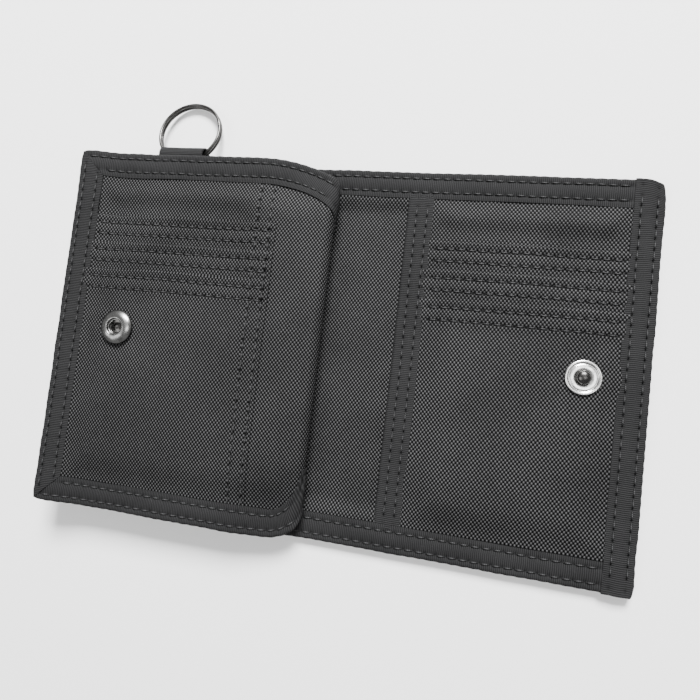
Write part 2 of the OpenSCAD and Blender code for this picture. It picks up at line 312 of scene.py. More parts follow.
# --- simulation
def pocket_swell(width, length, seams, seed):
    """How a sewn pocket puffs up between its seams: heights from 0 to 1 on a grid.

    A thin closed bag is held along its edge, its back and its seams, and Blender's cloth
    solver blows up its front. It is simulated ten times life size.
    """
    nx, ny = int(round(width / CELL)) + 1, int(round(length / CELL)) + 1
    xs, ys = np.linspace(0, width, nx), np.linspace(0, length, ny)
    grid_x, grid_y = np.meshgrid(xs, ys, indexing="ij")
    edge = np.minimum.reduce([grid_x, width - grid_x, grid_y, length - grid_y])
    start = 0.6 + 0.25 * noise(grid_x, grid_y, 9, seed)
    top = np.stack([grid_x, grid_y, start * (edge > 0)], 2) * SIM_SCALE
    under = np.stack([grid_x, grid_y, np.full_like(grid_x, -1.0)], 2) * SIM_SCALE
    index = np.arange(nx * ny).reshape(nx, ny)
    count = index.size
    mesh = bpy.data.meshes.new("swell")
    mesh.from_pydata(np.concatenate([top.reshape(-1, 3), under.reshape(-1, 3)]).tolist(), [],
                     shell_quads(index).tolist())
    bag = bpy.data.objects.new("swell", mesh)
    bpy.context.scene.collection.objects.link(bag)
    held = edge < 0.01
    for x0, y0, x1, y1 in seams:
        inside = (grid_x > x0 - CELL / 2) & (grid_x < x1 + CELL / 2)
        held |= inside & (grid_y > y0 - CELL / 2) & (grid_y < y1 + CELL / 2)
    pins = bag.vertex_groups.new(name="pins")
    pins.add([int(i) for i in index[held]] + list(range(count, 2 * count)), 1.0, "REPLACE")
    cloth = bag.modifiers.new("cloth", "CLOTH")
    for key, value in CLOTH.items():
        setattr(cloth.settings, key, value)
    cloth.settings.effector_weights.gravity = 0
    cloth.collision_settings.use_collision = False
    cloth.point_cache.frame_start, cloth.point_cache.frame_end = 1, SIM_STEPS
    scene = bpy.context.scene
    for step in range(1, SIM_STEPS + 1):
        scene.frame_set(step)
    settled = bag.evaluated_get(bpy.context.evaluated_depsgraph_get()).to_mesh()
    points = np.zeros(len(settled.vertices) * 3)
    settled.vertices.foreach_get("co", points)
    rise = points.reshape(-1, 3)[:count, Z].reshape(nx, ny)
    scene.frame_set(1)
    bpy.data.objects.remove(bag)
    rise = np.clip(rise, 0, None)
    return xs, ys, rise / max(rise.max(), 1e-6)


def field(swell, x, y):
    """The height of a simulated pocket at any place, smoothed between its cells."""
    xs, ys, rise = swell
    x, y = np.broadcast_arrays(np.asarray(x, float), np.asarray(y, float))
    u = np.clip(x / xs[-1] * (len(xs) - 1), 0, len(xs) - 1.001)
    v = np.clip(y / ys[-1] * (len(ys) - 1), 0, len(ys) - 1.001)
    i, j = u.astype(int), v.astype(int)
    total = np.zeros_like(u)
    for di in (-1, 0, 1, 2):
        for dj in (-1, 0, 1, 2):
            weight = cubic(u - i - di) * cubic(v - j - dj)
            total += weight * rise[np.clip(i + di, 0, len(xs) - 1), np.clip(j + dj, 0, len(ys) - 1)]
    return total


def cubic(t):
    """The weight of a cubic B-spline at a distance of t cells."""
    t = np.abs(t)
    inner = (4 - 6 * t ** 2 + 3 * t ** 3) / 6
    outer = np.clip(2 - t, 0, None) ** 3 / 6
    return np.where(t < 1, inner, outer)


# --- materials
class Shader:
    """Short names for building one material out of nodes."""

    def __init__(self, name):
        self.material = bpy.data.materials.new(name)
        self.material.use_nodes = True
        self.tree = self.material.node_tree
        self.tree.nodes.clear()
        self.surface = self.add("ShaderNodeBsdfPrincipled")
        output = self.add("ShaderNodeOutputMaterial")
        self.tree.links.new(self.surface.outputs[0], output.inputs["Surface"])

    def add(self, kind, inputs=None, **settings):
        node = self.tree.nodes.new(kind)
        for key, value in settings.items():
            setattr(node, key, value)
        for key, value in (inputs or {}).items():
            self.plug(node.inputs[key], value)
        return node

    def plug(self, target, value):
        if isinstance(value, bpy.types.NodeSocket):
            self.tree.links.new(value, target)
        else:
            target.default_value = value

    def math(self, operation, first, second=0.0, third=0.0):
        return self.add("ShaderNodeMath", {0: first, 1: second, 2: third},
                        operation=operation).outputs[0]

    def ramp(self, value, low_in, high_in, low_out=0.0, high_out=1.0):
        return self.add("ShaderNodeMapRange", {
            "Value": value, "From Min": low_in, "From Max": high_in,
            "To Min": low_out, "To Max": high_out}, interpolation_type="SMOOTHSTEP").outputs[0]

    def speckle(self, where, scale, detail=2.0):
        return self.add("ShaderNodeTexNoise", {
            "Vector": where, "Scale": scale, "Detail": detail}).outputs[0]

    def colours(self, factor, dark, light):
        """Mixes two colours. dark may itself be a mix."""
        dark = (*dark, 1) if isinstance(dark, tuple) else dark
        return self.add("ShaderNodeMix", {"Factor": factor, 6: dark, 7: (*light, 1)},
                        data_type="RGBA").outputs[2]

    def brightness(self, colour, value):
        return self.add("ShaderNodeHueSaturation", {"Color": colour, "Value": value}).outputs[0]

    def along_fabric(self):
        """The fabric's own coordinates in metres."""
        place = self.add("ShaderNodeUVMap", uv_map="along_fabric").outputs[0]
        apart = self.add("ShaderNodeSeparateXYZ", {0: place})
        return apart.outputs[0], apart.outputs[1]

    def place(self):
        return self.add("ShaderNodeTexCoord").outputs["Object"]

    def seam_shade(self, depth):
        """Darker where the stitches draw the fabric in."""
        stitched = self.add("ShaderNodeAttribute", attribute_name="stitched").outputs["Fac"]
        return self.ramp(stitched, 0.0, 1.0, 1.0, 1.0 - depth)

    def bump(self, height, distance, strength=1.0):
        made = self.add("ShaderNodeBump", {
            "Height": height, "Distance": distance, "Strength": strength})
        self.plug(self.surface.inputs["Normal"], made.outputs[0])

    def finish(self, colour, roughness, specular=0.5, metallic=0.0):
        """Specular and metallic are fixed numbers on the shader's own sockets. Specular
        is a fixed number, because the export drops a linked one.
        """
        self.plug(self.surface.inputs["Base Color"], colour)
        self.plug(self.surface.inputs["Roughness"], roughness)
        self.surface.inputs["Specular IOR Level"].default_value = specular
        self.surface.inputs["Metallic"].default_value = metallic
        return self.material


def woven(name, warp, weft, shaded_gap_colour, float_colour, highlight_dot_colour, rough, relief):
    """Plain weave: warp and weft floats in a chequer, with a painted highlight on each weft float and
    painted shade where the yarns dive.
    """
    s = Shader(name)
    u, v = s.along_fabric()
    where = s.place()
    drift = s.speckle(where, 220.0, 1.0)
    u = s.math("MULTIPLY_ADD", u, math.pi / (warp * MM), s.math("MULTIPLY", drift, 0.7))
    v = s.math("MULTIPLY_ADD", v, math.pi / (weft * MM), s.math("MULTIPLY", drift, -0.6))
    chequer = s.math("MULTIPLY", s.math("SINE", u), s.math("SINE", v))
    over = s.ramp(chequer, -0.25, 0.75)
    warp_over = s.ramp(s.math("MULTIPLY", chequer, -1.0), 0.1, 0.8)
    yarn = s.math("ABSOLUTE", s.math("SINE", s.math("MULTIPLY", v, 4.0)))
    # Painted light in the base colour: a highlight on the weft floats, shade in the gaps between yarns.
    shade = s.colours(over, s.colours(warp_over, shaded_gap_colour, float_colour), highlight_dot_colour)
    # patches: random tone, which also stands in for painted sheen and painted shade over the fabric's
    # soft undulation.
    patches = s.speckle(where, 38.0, 3.0)
    grime = s.speckle(where, 900.0, 2.0)
    value = s.math("ADD", s.ramp(patches, 0.25, 0.75, 0.86, 1.14), s.ramp(grime, 0.3, 0.7, -0.1, 0.1))
    shade = s.brightness(shade, s.math("MULTIPLY", value, s.seam_shade(0.7)))
    height = s.math("ADD", s.math("ABSOLUTE", chequer), s.math("MULTIPLY", yarn, 0.12))
    s.bump(height, relief * MM, 0.6)
    shine = s.math("ADD", s.ramp(over, 0.0, 1.0, rough + 0.1, rough - 0.12),
                   s.ramp(patches, 0.2, 0.8, -0.05, 0.05))
    return s.finish(shade, shine, specular=0.04)


def grosgrain(name):
    """Ribbed tape: fine ribs across its length, with a painted highlight on their crowns and painted
    shade between them.
    """
    s = Shader(name)
    u, v = s.along_fabric()
    where = s.place()
    drift = s.speckle(where, 180.0, 2.0)
    turns = s.math("MULTIPLY_ADD", u, 2 * math.pi / (0.62 * MM), s.math("MULTIPLY", drift, 2.2))
    rib = s.ramp(s.math("SINE", turns), -0.75, 0.9)
    fine = s.math("SINE", s.math("MULTIPLY_ADD", v, 2 * math.pi / (0.33 * MM),
                                 s.math("MULTIPLY", rib, math.pi)))
    rib_highlight = s.math("MULTIPLY_ADD", fine, 0.16, rib)
    # Painted highlight on the rib crowns, and painted shade in the gaps between the ribs.
    shade = s.colours(rib_highlight, (0.0086, 0.0086, 0.0088), (0.0215, 0.0215, 0.022))
    patches = s.speckle(where, 55.0, 3.0)
    fluff = s.speckle(where, 1300.0, 1.0)
    value = s.math("ADD", s.ramp(patches, 0.25, 0.75, 0.88, 1.1), s.ramp(fluff, 0.62, 0.8, 0.0, 0.25))
    shade = s.brightness(shade, s.math("MULTIPLY", value, s.seam_shade(0.42)))
    s.bump(s.math("MULTIPLY_ADD", fine, 0.1, rib), 0.11 * MM, 0.7)
    return s.finish(shade, s.ramp(patches, 0.2, 0.8, 0.68, 0.82), specular=0.04)


def thread(name):
    """Two-ply polyester thread, with a painted glint where it stands proud at the end of a stitch."""
    s = Shader(name)
    u, v = s.along_fabric()
    twist = s.math("SINE", s.math("MULTIPLY_ADD", u, 2 * math.pi / (0.55 * MM),
                                  s.math("MULTIPLY", v, 1.0 / MM)))
    ply = s.ramp(twist, -0.7, 0.7)
    proud_glint = s.ramp(s.math("SINE", s.math("MULTIPLY", u, math.pi / (STITCH * MM))), 0.75, 0.98)
    shade = s.colours(ply, (0.007, 0.007, 0.0072), (0.016, 0.016, 0.0165))
    # Painted glint: the thread is made up to 2.5 times brighter at the raised end of each stitch.
    shade = s.brightness(shade, s.math("MULTIPLY_ADD", proud_glint, 1.8, 0.7))
    s.bump(ply, 0.06 * MM, 0.8)
    return s.finish(shade, s.ramp(s.speckle(s.place(), 300.0), 0.3, 0.7, 0.45, 0.62),
                    specular=0.15)


def plated(name, dark, light, rough, scratch):
    """Plated metal with fine scratches, faint stains and duller worn patches."""
    s = Shader(name)
    where = s.place()
    stains = s.speckle(where, 420.0, 4.0)
    stretched = s.add("ShaderNodeMapping", {"Vector": where, "Scale": (9000.0, 700.0, 700.0)},
                      vector_type="POINT").outputs[0]
    lines = s.speckle(stretched, 1.0, 3.0)
    shade = s.colours(s.ramp(stains, 0.3, 0.7), dark, light)
    s.bump(s.math("ADD", lines, s.math("MULTIPLY", stains, 0.5)), scratch * MM, 0.35)
    shine = s.math("ADD", s.ramp(stains, 0.25, 0.75, rough + 0.08, rough - 0.05),
                   s.ramp(lines, 0.4, 0.8, 0.0, 0.08))
    return s.finish(shade, shine, metallic=1.0)


def paper_floor():
    s = Shader("studio_floor")
    where = s.place()
    mottle = s.speckle(where, 6.0, 2.0)
    shade = s.colours(mottle, (0.86, 0.86, 0.86), (0.89, 0.89, 0.89))
    return s.finish(shade, 0.9, specular=0.1)


# The last colour of each weave is a painted highlight on the floats, and the first is painted shade in
# the gaps.
NYLON = woven("ballistic_nylon_weave", 0.61, 0.75, (0.0008, 0.0008, 0.00085),
              (0.0012, 0.0012, 0.00125), (0.052, 0.052, 0.053), 0.52, 0.14)
OUTER_NYLON = woven("outer_nylon_weave", 0.64, 0.78, (0.0008, 0.0008, 0.00085),
                    (0.0012, 0.0012, 0.00125), (0.05, 0.05, 0.051), 0.5, 0.16)
LINING = woven("smooth_lining", 0.16, 0.18, (0.006, 0.006, 0.0062),
               (0.009, 0.009, 0.0092), (0.018, 0.018, 0.0185), 0.42, 0.04)
TAPE = grosgrain("grosgrain")
THREAD = thread("bonded_thread")
NICKEL = plated("nickel_plate", (0.52, 0.52, 0.515), (0.68, 0.68, 0.67), 0.22, 0.01)
AGED_NICKEL = plated("aged_nickel", (0.13, 0.13, 0.128), (0.27, 0.27, 0.265), 0.24, 0.01)
# Black nickel for the split ring. On the stud's ball it is a painted dark reflection, and on the floor
# of the socket's hole it is painted shade.
DARK_NICKEL_AND_SHADE = plated("black_nickel_and_painted_shade", (0.035, 0.034, 0.033), (0.085, 0.083, 0.081), 0.27, 0.01)


# --- leaf's flat pattern
def flat(p, q, h):
    """A cover lies flat, so its pattern is the row frame. One corner is worn round."""
    p, q, h = np.broadcast_arrays(p, q, h)
    out = np.clip((p - half_w + 9) / 9, 0, 1)
    worn = 4.0 * (1 - np.sqrt(1 - out ** 2)) * smooth((q - half_h + 15) / 15)
    return np.stack([p, q - worn, h], -1)


# The leaf's round corners at the fold, top (side 1) and bottom (side -1): each is part of
# an ellipse that starts at p0 and would end at p0 + reach, drop further in from the edge.
CORNERS = {1: (apex_p - 28.5, 33.5, 16.0), -1: (apex_p - 13.6, 15.5, 16.0)}


def by_side(q, top, bottom):
    return np.where(np.asarray(q) > 0, top, bottom)


def outline_q(p, side):
    """How far from the middle the leaf's edge lies, at a place along its pattern."""
    start, reach, drop = (by_side(side, *pair) for pair in zip(CORNERS[1], CORNERS[-1]))
    along = np.clip((p - start) / reach, 0, 1)
    return half_h - drop * (1 - np.sqrt(1 - along ** 2))


def outline_p(q):
    """Where the leaf's edge ends along its pattern, at a distance q from the middle."""
    start, reach, drop = (by_side(q, *pair) for pair in zip(CORNERS[1], CORNERS[-1]))
    out = np.clip((np.abs(q) - half_h + drop) / drop, 0, 1)
    return np.minimum(start + reach * np.sqrt(1 - out ** 2), apex_p)


def leaf_droop(p, q):
    """How far the leaf hangs down at its round corners, less its spring at the left edge."""
    top = 2.4 * smooth((p - roll_x + 24) / 26) * smooth((q - 44) / 16)
    bottom = 3.2 * smooth((p - roll_x + 26) / 28) * smooth((-q - 38) / 22)
    return top + bottom - 2.4 * smooth((socket[X] - 5 - p) / 18)


def leaf_bend(p, q, h):
    """The leaf's pattern, flat and then rolled over at the spine. h is the height on it."""
    p, q, h = np.broadcast_arrays(p, q, h)
    angle = np.clip(p - roll_x, 0, None) / roll_r
    half = roll_r - leaf_droop(p, q) / 2
    x = np.where(p < roll_x, p, roll_x + (roll_r + h) * np.sin(angle))
    z = np.where(p < roll_x, leaf_low + 2 * half + h, leaf_low + half + (half + h) * np.cos(angle))
    return np.stack([x, q, z], -1)


def leaf_inset(p, q):
    """How far a place on the leaf's pattern lies inside its bound edge."""
    return np.minimum(p + half_w, outline_q(p, q) - np.abs(q))


# --- bindings
class Tape:
    """A tape folded over an edge and sewn through.

    route(s) gives the edge's place and its inward direction in the pattern, faces(s) the
    heights of the lower and the upper face, and place() takes the pattern to the row frame.
    slants moves each end for each mm inward: 1 makes a mitre, 0 a square end.
    """

    def __init__(self, route, span, faces, place=flat, width=bind_w, rows=EDGE_ROWS,
                 slants=(0, 0), seed=1, blunt=0.6):
        self.route, self.span, self.faces, self.place = route, span, faces, place
        self.width, self.rows, self.slants, self.seed = width, rows, slants, seed
        self.blunt = blunt
        lower, upper = faces(np.array([sum(span) / 2]))
        half = float(np.mean(upper - lower)) / 2
        self.quarter = math.pi / 2 * math.sqrt((EDGE_DEPTH ** 2 + half ** 2) / 2)

    def along(self, inward):
        """The place across the flat tape that lies so far in from the edge."""
        return self.quarter + inward - EDGE_DEPTH

    def relief(self, s, d):
        """Puffed between the stitch rows, drawn in at each row and at each needle hole."""
        first, last = self.rows
        rise = 0.2 * np.sin(math.pi * np.clip((d - first) / (last - first), 0, 1)) ** 2
        rise = rise - 0.42 * drawn_in(s, d, self.rows)
        rise = rise - 0.12 * smooth((d - self.width + 1.2) / 1.2)
        return rise + 0.09 * noise(s, d * 2, 8, self.seed) + 0.05 * noise(s, d, 2.7, self.seed + 9)

    def point(self, s, t, lift=0.0):
        s, t = np.broadcast_arrays(s, t)
        lower, upper = self.faces(s)
        half, centre, face = (upper - lower) / 2, (upper + lower) / 2, np.where(t < 0, -1.0, 1.0)
        phi = np.clip(np.abs(t) / self.quarter, 0, 1) * math.pi / 2
        d = EDGE_DEPTH * (1 - np.cos(phi)) + np.clip(np.abs(t) - self.quarter, 0, None)
        h = centre + face * half * np.sin(phi)
        h = h + face * np.sin(phi) ** 4 * (self.relief(s, d) + lift)
        scallop = 0.07 * np.cos(2 * math.pi * s / STITCH) + 0.16 * noise(s, 0, 9, self.seed)
        ends = np.minimum(s - self.span[0], self.span[1] - s)
        d = d + (scallop + self.blunt * np.exp(-np.clip(ends, 0, None) / 1.3)) * np.exp(-d / 2.2)
        p, q, in_p, in_q = self.route(s)
        return self.place(p + in_p * d, q + in_q * d, h)

    def piece(self, name, on, length, *nodes):
        """The tape as one sheet, with what it moves with and the nodes it replaces."""
        first, last = self.rows
        legs = np.array([EDGE_DEPTH, 1.6, first - 0.5, first, first + 0.5, first + 1.3,
                         (first + last) / 2, last - 1.3, last - 0.5, last, last + 0.5,
                         self.width - 0.9, self.width - 0.3, self.width])
        t = self.along(legs)
        turn = np.linspace(-self.quarter, self.quarter, 11)[1:-1]
        t = np.concatenate([-t[::-1], turn, t])
        s = between_holes(*self.span)
        cut = np.clip(np.abs(t) - self.quarter, 0, None) + EDGE_DEPTH
        near_start = smooth(1 - (s - s[0]) / 20)[:, None]
        near_end = smooth(1 - (s[-1] - s) / 20)[:, None]
        along = s[:, None] + (near_start * self.slants[0] - near_end * self.slants[1]) * cut
        across = np.broadcast_to(t, along.shape)
        wander = 0.16 * noise(along, np.sign(across) * 40, 13, self.seed + 3)
        across = across + np.sign(across) * wander * smooth((np.abs(across) - self.quarter) / self.width)
        top = self.point(along, across)
        normal = grid_normals(top)
        flip = normal[:, -4, Z].mean() < 0
        if flip:
            normal = -normal
        under = top - normal * (tape_t - 0.05)
        uv = np.stack([along, across], 2)
        inward = np.abs(across) - self.quarter + EDGE_DEPTH
        made = sheet_piece(name, uv, top, under, TAPE, flip, drawn_in(along, inward, self.rows))
        declare(made, "grosgrain_tape", on, *nodes, flat=(2 * self.along(self.width), length),
                held="folded")

    def seam(self, row, face, trim=(2.5, 2.5)):
        """One stitch row on the upper (face 1) or the lower (face -1) leg."""
        t = face * self.along(row)
        seed = self.seed + int(10 * row)
        return (lambda s, lift: self.point(s, t + 0.12 * noise(s, row, 9, seed), lift + 0.04),
                self.span[0] + trim[0], self.span[1] - trim[1])

    def seams(self, trim=(2.5, 2.5)):
        return [self.seam(row, face, trim) for row in self.rows for face in (1, -1)]


def stitches(name, on, seams):
    """Lock stitches: a short bent length of thread between each two needle holes."""
    shares = np.array([0.03, 0.14, 0.3, 0.55, 0.8, 0.97])
    lifts = np.array([-0.3, 0.16, 0.24, 0.12, 0.05, -0.3])
    sides = 6
    turn = np.linspace(0, 2 * math.pi, sides, endpoint=False)
    all_points, all_quads, all_uv, count = [], [], [], 0
    for curve, start, end in seams:
        holes = STITCH * np.arange(math.ceil(start / STITCH), math.floor(end / STITCH))
        if not len(holes):
            continue
        s = holes[:, None] + STITCH * shares
        lift = np.broadcast_to(lifts, s.shape)
        centre = curve(s, lift)
        up = curve(s, lift + 0.2) - centre
        up /= np.linalg.norm(up, axis=2, keepdims=True)
        tangent = np.gradient(centre, axis=1)
        side = np.cross(tangent, up)
        side /= np.linalg.norm(side, axis=2, keepdims=True)
        tube = centre[:, :, None] + THREAD_R * (
            np.cos(turn)[:, None] * side[:, :, None] + np.sin(turn)[:, None] * up[:, :, None])
        k, n = s.shape
        index = count + np.arange(k * n * sides).reshape(k, n, sides)
        a, b = index[:, :-1], index[:, 1:]
        quads = np.stack([a, np.roll(a, -1, 2), np.roll(b, -1, 2), b], 3).reshape(-1, 4)
        first, last = index[:, 0], index[:, -1]
        caps = [first[:, [0, 3, 2, 1]], first[:, [0, 5, 4, 3]],
                last[:, [0, 1, 2, 3]], last[:, [0, 3, 4, 5]]]
        all_points.append(tube.reshape(-1, 3))
        all_quads += [quads, *caps]
        ramp = np.broadcast_to((STITCH * shares)[None, :, None], index.shape)
        around = np.broadcast_to(turn, index.shape)
        all_uv.append(np.stack([ramp, around], 3).reshape(-1, 2))
        count += k * n * sides
    made = mesh_piece(name, np.concatenate(all_points), np.concatenate(all_quads),
                      np.concatenate(all_uv), THREAD, sharp=180)
    declare(made, "grosgrain_tape", on)


def top_edge(side):
    """The cover's top (side 1) or bottom (side -1) edge, measured along X."""
    return lambda s: (s, side * half_h, 0.0, -side)


def side_edge(side):
    """The right (side 1) or left (side -1) edge, measured along Y."""
    return lambda s: (side * half_w, s, -side, 0.0)


CORNER_FAN = math.radians(28)  # how far the tape's ribs fan out round a leaf corner


def leaf_edge(side):
    """The leaf's top or bottom edge and the round corner at its fold."""
    def route(s):
        start, reach, _ = CORNERS[side]
        fan = CORNER_FAN * smooth((s - start) / reach * 1.15)
        return s, side * outline_q(s, side), -np.sin(fan), -side * np.cos(fan)
    return route


def cover_faces_x(s):
    """Top and bottom bindings dive between the legs of the side bindings at the corners."""
    under = smooth((np.abs(s) - (half_w - bind_w - 0.5)) / 2.5)
    return 0.5 * under, cover_top - 0.4 * under


def cover_faces_y(s):
    """Side bindings climb over the ends of the top and bottom bindings."""
    over = smooth((np.abs(s) - (half_h - bind_w - 2.5)) / 2.5)
    return 0.0 * s, cover_top + 0.12 * over


def leaf_faces(s):
    """The lower leg closes up on the upper one where the tape goes over the roll."""
    rolled = smooth((s - roll_x + 3) / 6)
    return leaf_bind_low + 0.9 * rolled, leaf_bind_high + 0.0 * s


def leaf_faces_side(s):
    over = smooth((np.abs(s) - (half_h - bind_w - 1)) / 2)
    return leaf_bind_low + 0.0 * s, leaf_bind_high + 0.22 * over


def mouth_faces(s):
    return low("right_mouth_tape", Z) + 0.0 * s, high("right_mouth_tape", Z) + 0.0 * s


def declare(made, slot, on, *nodes, flat=None, held=None):
    """Attaches a piece to what it moves with and hides the nodes it replaces.

    flat is not used. on is a body that the piece moves with, one of FOLDS, whose pieces stay where they
    are, or leaf_fabric: fabric that moves with the leaf on a mesh of its own.
    """
    if nodes:
        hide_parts(*nodes)
    if on in FOLDS:
        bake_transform(made)
    elif on == "leaf_fabric":
        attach(made, "leaf")
        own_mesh(made)
    else:
        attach(made, on)


def cover_bindings():
    seams = {"left": [], "right": []}
    parts = (("left", (-half_w + 1.0, spine_mid), spine_mid + half_w, (bind_w - 1.5, 0),
              ("left", "spine")),
             ("right", (spine_mid, half_w - 1.0), half_w - spine_mid, (-STITCH, bind_w - 1.5),
              ("right",)))
    for side, word in ((1, "top"), (-1, "bottom")):
        for part, span, length, trim, owners in parts:
            tape = Tape(top_edge(side), span, cover_faces_x, seed=11 + side, blunt=0.0)
            tape.piece(f"{part}_{word}_binding", f"{part}_fold", length,
                       *(f"{owner}_binding_{word}" for owner in owners))
            seams[part] += tape.seams(trim)
    for side, part in ((-1, "left"), (1, "right")):
        tape = Tape(side_edge(side), (-half_h, half_h), cover_faces_y, seed=21 + side, blunt=0.9)
        tape.piece(f"{part}_side_binding", f"{part}_cover", 2 * half_h, f"{part}_binding_side")
        seams[part] += tape.seams()
    for part, rows in seams.items():
        stitches(f"{part}_binding_stitches", f"{part}_fold", rows)


def leaf_bindings():
    seams = []
    for side, word in ((1, "top"), (-1, "bottom")):
        tape = Tape(leaf_edge(side), (-half_w, apex_p + 1.2), leaf_faces, leaf_bend,
                    slants=(1, -math.sin(CORNER_FAN)), seed=31 + side, blunt=1.2)
        tape.piece(f"leaf_{word}_binding", "leaf_fabric", apex_p + half_w, f"leaf_binding_{word}")
        for row in tape.rows:
            seams += [tape.seam(row, face, (row + 1.0, 1.0)) for face in (1, -1)]
    tape = Tape(side_edge(-1), (-half_h, half_h), leaf_faces_side, leaf_bend,
                slants=(1, 1), seed=41, blunt=1.2)
    tape.piece("leaf_side_binding", "leaf_fabric", 2 * half_h, "leaf_binding_side")
    for row in tape.rows:
        seams += [tape.seam(row, face, (row + 1.0, row + 1.0)) for face in (1, -1)]
    return seams


# --- pocket layers
class Face:
    """The pocket side of the leaf or of the right cover, in its own pattern.

    height(x, y) is the top of the uppermost layer. The panel, the two card slots and the
    front pocket lie below it in steps, which close up towards the seams. side_rows are the
    stitch rows that close the slots' free side, measured back from x1.
    """

    def __init__(self, x0, x1, place, height, inset, side_rows=()):
        self.x0, self.x1, self.place, self.height, self.inset = x0, x1, place, height, inset
        self.side_rows = side_rows

    def side_stitched(self, x, y):
        return drawn_in(y, self.x1 - x - SIDE_SLANT * y, self.side_rows) + 0.0 * x

    def layer(self, x, y, level, mouth=None):
        room = 0.2 + 0.8 * smooth(self.inset(x, y) / 9)
        h = self.height(x, y) - room * LEVELS[level] - HEM_PULL * self.side_stitched(x, y)
        if mouth is None:
            return h + (room * LEVELS[0] - 0.06) * smooth((y - slot_mouths[0] - 3) / 7)
        below = np.clip(mouth - y, 0, None)
        middle_x = (self.x0 + self.x1) / 2
        slack = 1 - ((x - middle_x) / (self.x1 - self.x0) * 2) ** 2
        h = h + 0.3 * (1 - smooth((below - HEM_ROWS[1] - 0.3) / 1.4))
        gape = 0.55 * np.clip(slack, 0, 1) * (1 + 0.5 * noise(x, level, 17, 5))
        h = h + gape * np.exp(-below / 2.0)
        return h - HEM_PULL * drawn_in(x, below, HEM_ROWS)

    def slot_panel(self, name, level, mouth, bottom):
        """One pocket layer with a folded mouth."""
        x = between_holes(self.x0, self.x1)
        hem = [0, 0.12, 0.3, 0.55, 1.0, 1.6, 2.2, 2.8, 3.4, 4.2, 5.2, 6.2, 6.6, 7.0, 7.5, 8.2, 9.2]
        y = np.concatenate([spread(bottom, mouth - 10.4, 1.5), mouth - np.array(hem)[::-1]])
        grid_x, grid_y = np.meshgrid(x, y, indexing="ij")
        sag = 0.35 * noise(grid_x, level * 7.0, 21, 60 + level)
        h = self.layer(grid_x, grid_y, level, mouth)
        below = mouth - grid_y
        lip = 0.42 * (1 - np.sqrt(np.clip(1 - (1 - np.clip(below / 0.5, 0, 1)) ** 2, 0, 1)))
        thick = 0.36 + 0.44 * (1 - smooth((below - HEM_ROWS[1] - 0.4) / 1.2))
        shift = sag * np.exp(-below / 6)
        top = self.place(grid_x, grid_y + shift, h - lip)
        under = self.place(grid_x, grid_y + shift, h - thick + lip * 0.9)
        stitched = drawn_in(grid_x, below, HEM_ROWS) + self.side_stitched(grid_x, grid_y)
        return sheet_piece(name, np.stack([grid_x, grid_y], 2), top, under, NYLON,
                           stitched=stitched)

    def hem_seams(self, level, mouth):
        """The two stitch rows below a slot's mouth."""
        made = []
        for row in HEM_ROWS:
            def curve(s, lift, row=row):
                y = mouth - row + 0.12 * noise(s, row, 8, 70 + level)
                shift = 0.35 * noise(s, level * 7.0, 21, 60 + level) * math.exp(-row / 6)
                return self.place(s, y + shift, self.layer(s, y, level, mouth) + lift)
            made.append((curve, self.x0 + 1.5, self.x1 - 1.5))
        return made


def puckered(x, y, centre, height, target):
    """Presses the fabric flat under a snap and gathers it a little around it."""
    away = np.hypot(x - centre[X], y - centre[Y])
    turn = np.arctan2(y - centre[Y], x - centre[X])
    pressed = 1 - smooth((away - 5.6) / 8)
    gathers = 0.1 * np.cos(7 * turn + 0.6) * np.exp(-((away - 8.5) / 2.2) ** 2)
    return mix(height, target, pressed) + gathers


def right_inset(x, y):
    """How far a place lies inside the tapes around the right pockets."""
    sides = np.minimum(x - mouth_x - mouth_w, half_w - bind_w - x)
    return np.clip(np.minimum(sides, half_h - bind_w - np.abs(y)), 0, None)


def leaf_room(p, q):
    """How far a place lies inside the leaf's tapes."""
    return np.clip(leaf_inset(p, q) - bind_w, 0, None)


def leaf_slot_room(p, q):
    """How far a place lies inside the seams all round the leaf's card slots."""
    side = np.abs(leaf_slot_x1 - SIDE_ROWS[1] - p) * (p < leaf_slot_x1 - SIDE_ROWS[1])
    return np.minimum(leaf_room(p, q), side)


def face_swell(x0, x1, snap, seed):
    """The simulated swell of a pocket face, held down at its hems and under its snap."""
    width, to_y, held = x1 - x0, half_h - bind_w, 5
    seams = [(0, to_y + m - row, width, to_y + m - row) for m in slot_mouths for row in HEM_ROWS]
    seams.append((snap[X] - x0 - held, to_y - held, snap[X] - x0 + held, to_y + held))
    return pocket_swell(width, 2 * to_y, seams, seed)


def make_faces():
    """The two pocket faces, each with its own simulated swell."""
    x0, x1 = mouth_x + mouth_w - 1.4, half_w - bind_w + 1.6
    to_y = half_h - bind_w
    right_swell = face_swell(x0, x1, stud, 3)

    def right_height(x, y):
        edge = cover_top - 0.3
        h = edge + (right_face_z - edge) * smooth(right_inset(x, y) / 11)
        h = h + 0.75 * field(right_swell, x - x0, y + to_y)
        h = h + (0.1 + 0.3 * smooth(right_inset(x, y) / 9)) * noise(x, y, 19, 8)
        return puckered(x, y, stud, h, right_face_z - 0.02)

    left0, left1 = -half_w + bind_w - 1.6, leaf_slot_x1
    leaf_swell = face_swell(left0, left1, socket, 4)

    def leaf_height(p, q):
        edge = leaf_bind_high - 0.3
        fade = 1 - smooth((p - leaf_slot_x1 - 1) / (roll_x - leaf_slot_x1 - 2))
        h = edge + (leaf_face_h - edge) * smooth(leaf_room(p, q) / 11) * (0.25 + 0.75 * fade)
        h = h + 0.8 * field(leaf_swell, p - left0, q + to_y) * (p < left1)
        h = h + (0.1 + 0.3 * smooth(leaf_room(p, q) / 9)) * noise(p, q, 17, 12)
        return puckered(p, q, socket, h, leaf_face_h - 0.02)

    return (Face(x0, x1, flat, right_height, right_inset),
            Face(left0, left1, leaf_bend, leaf_height, leaf_slot_room, SIDE_ROWS))


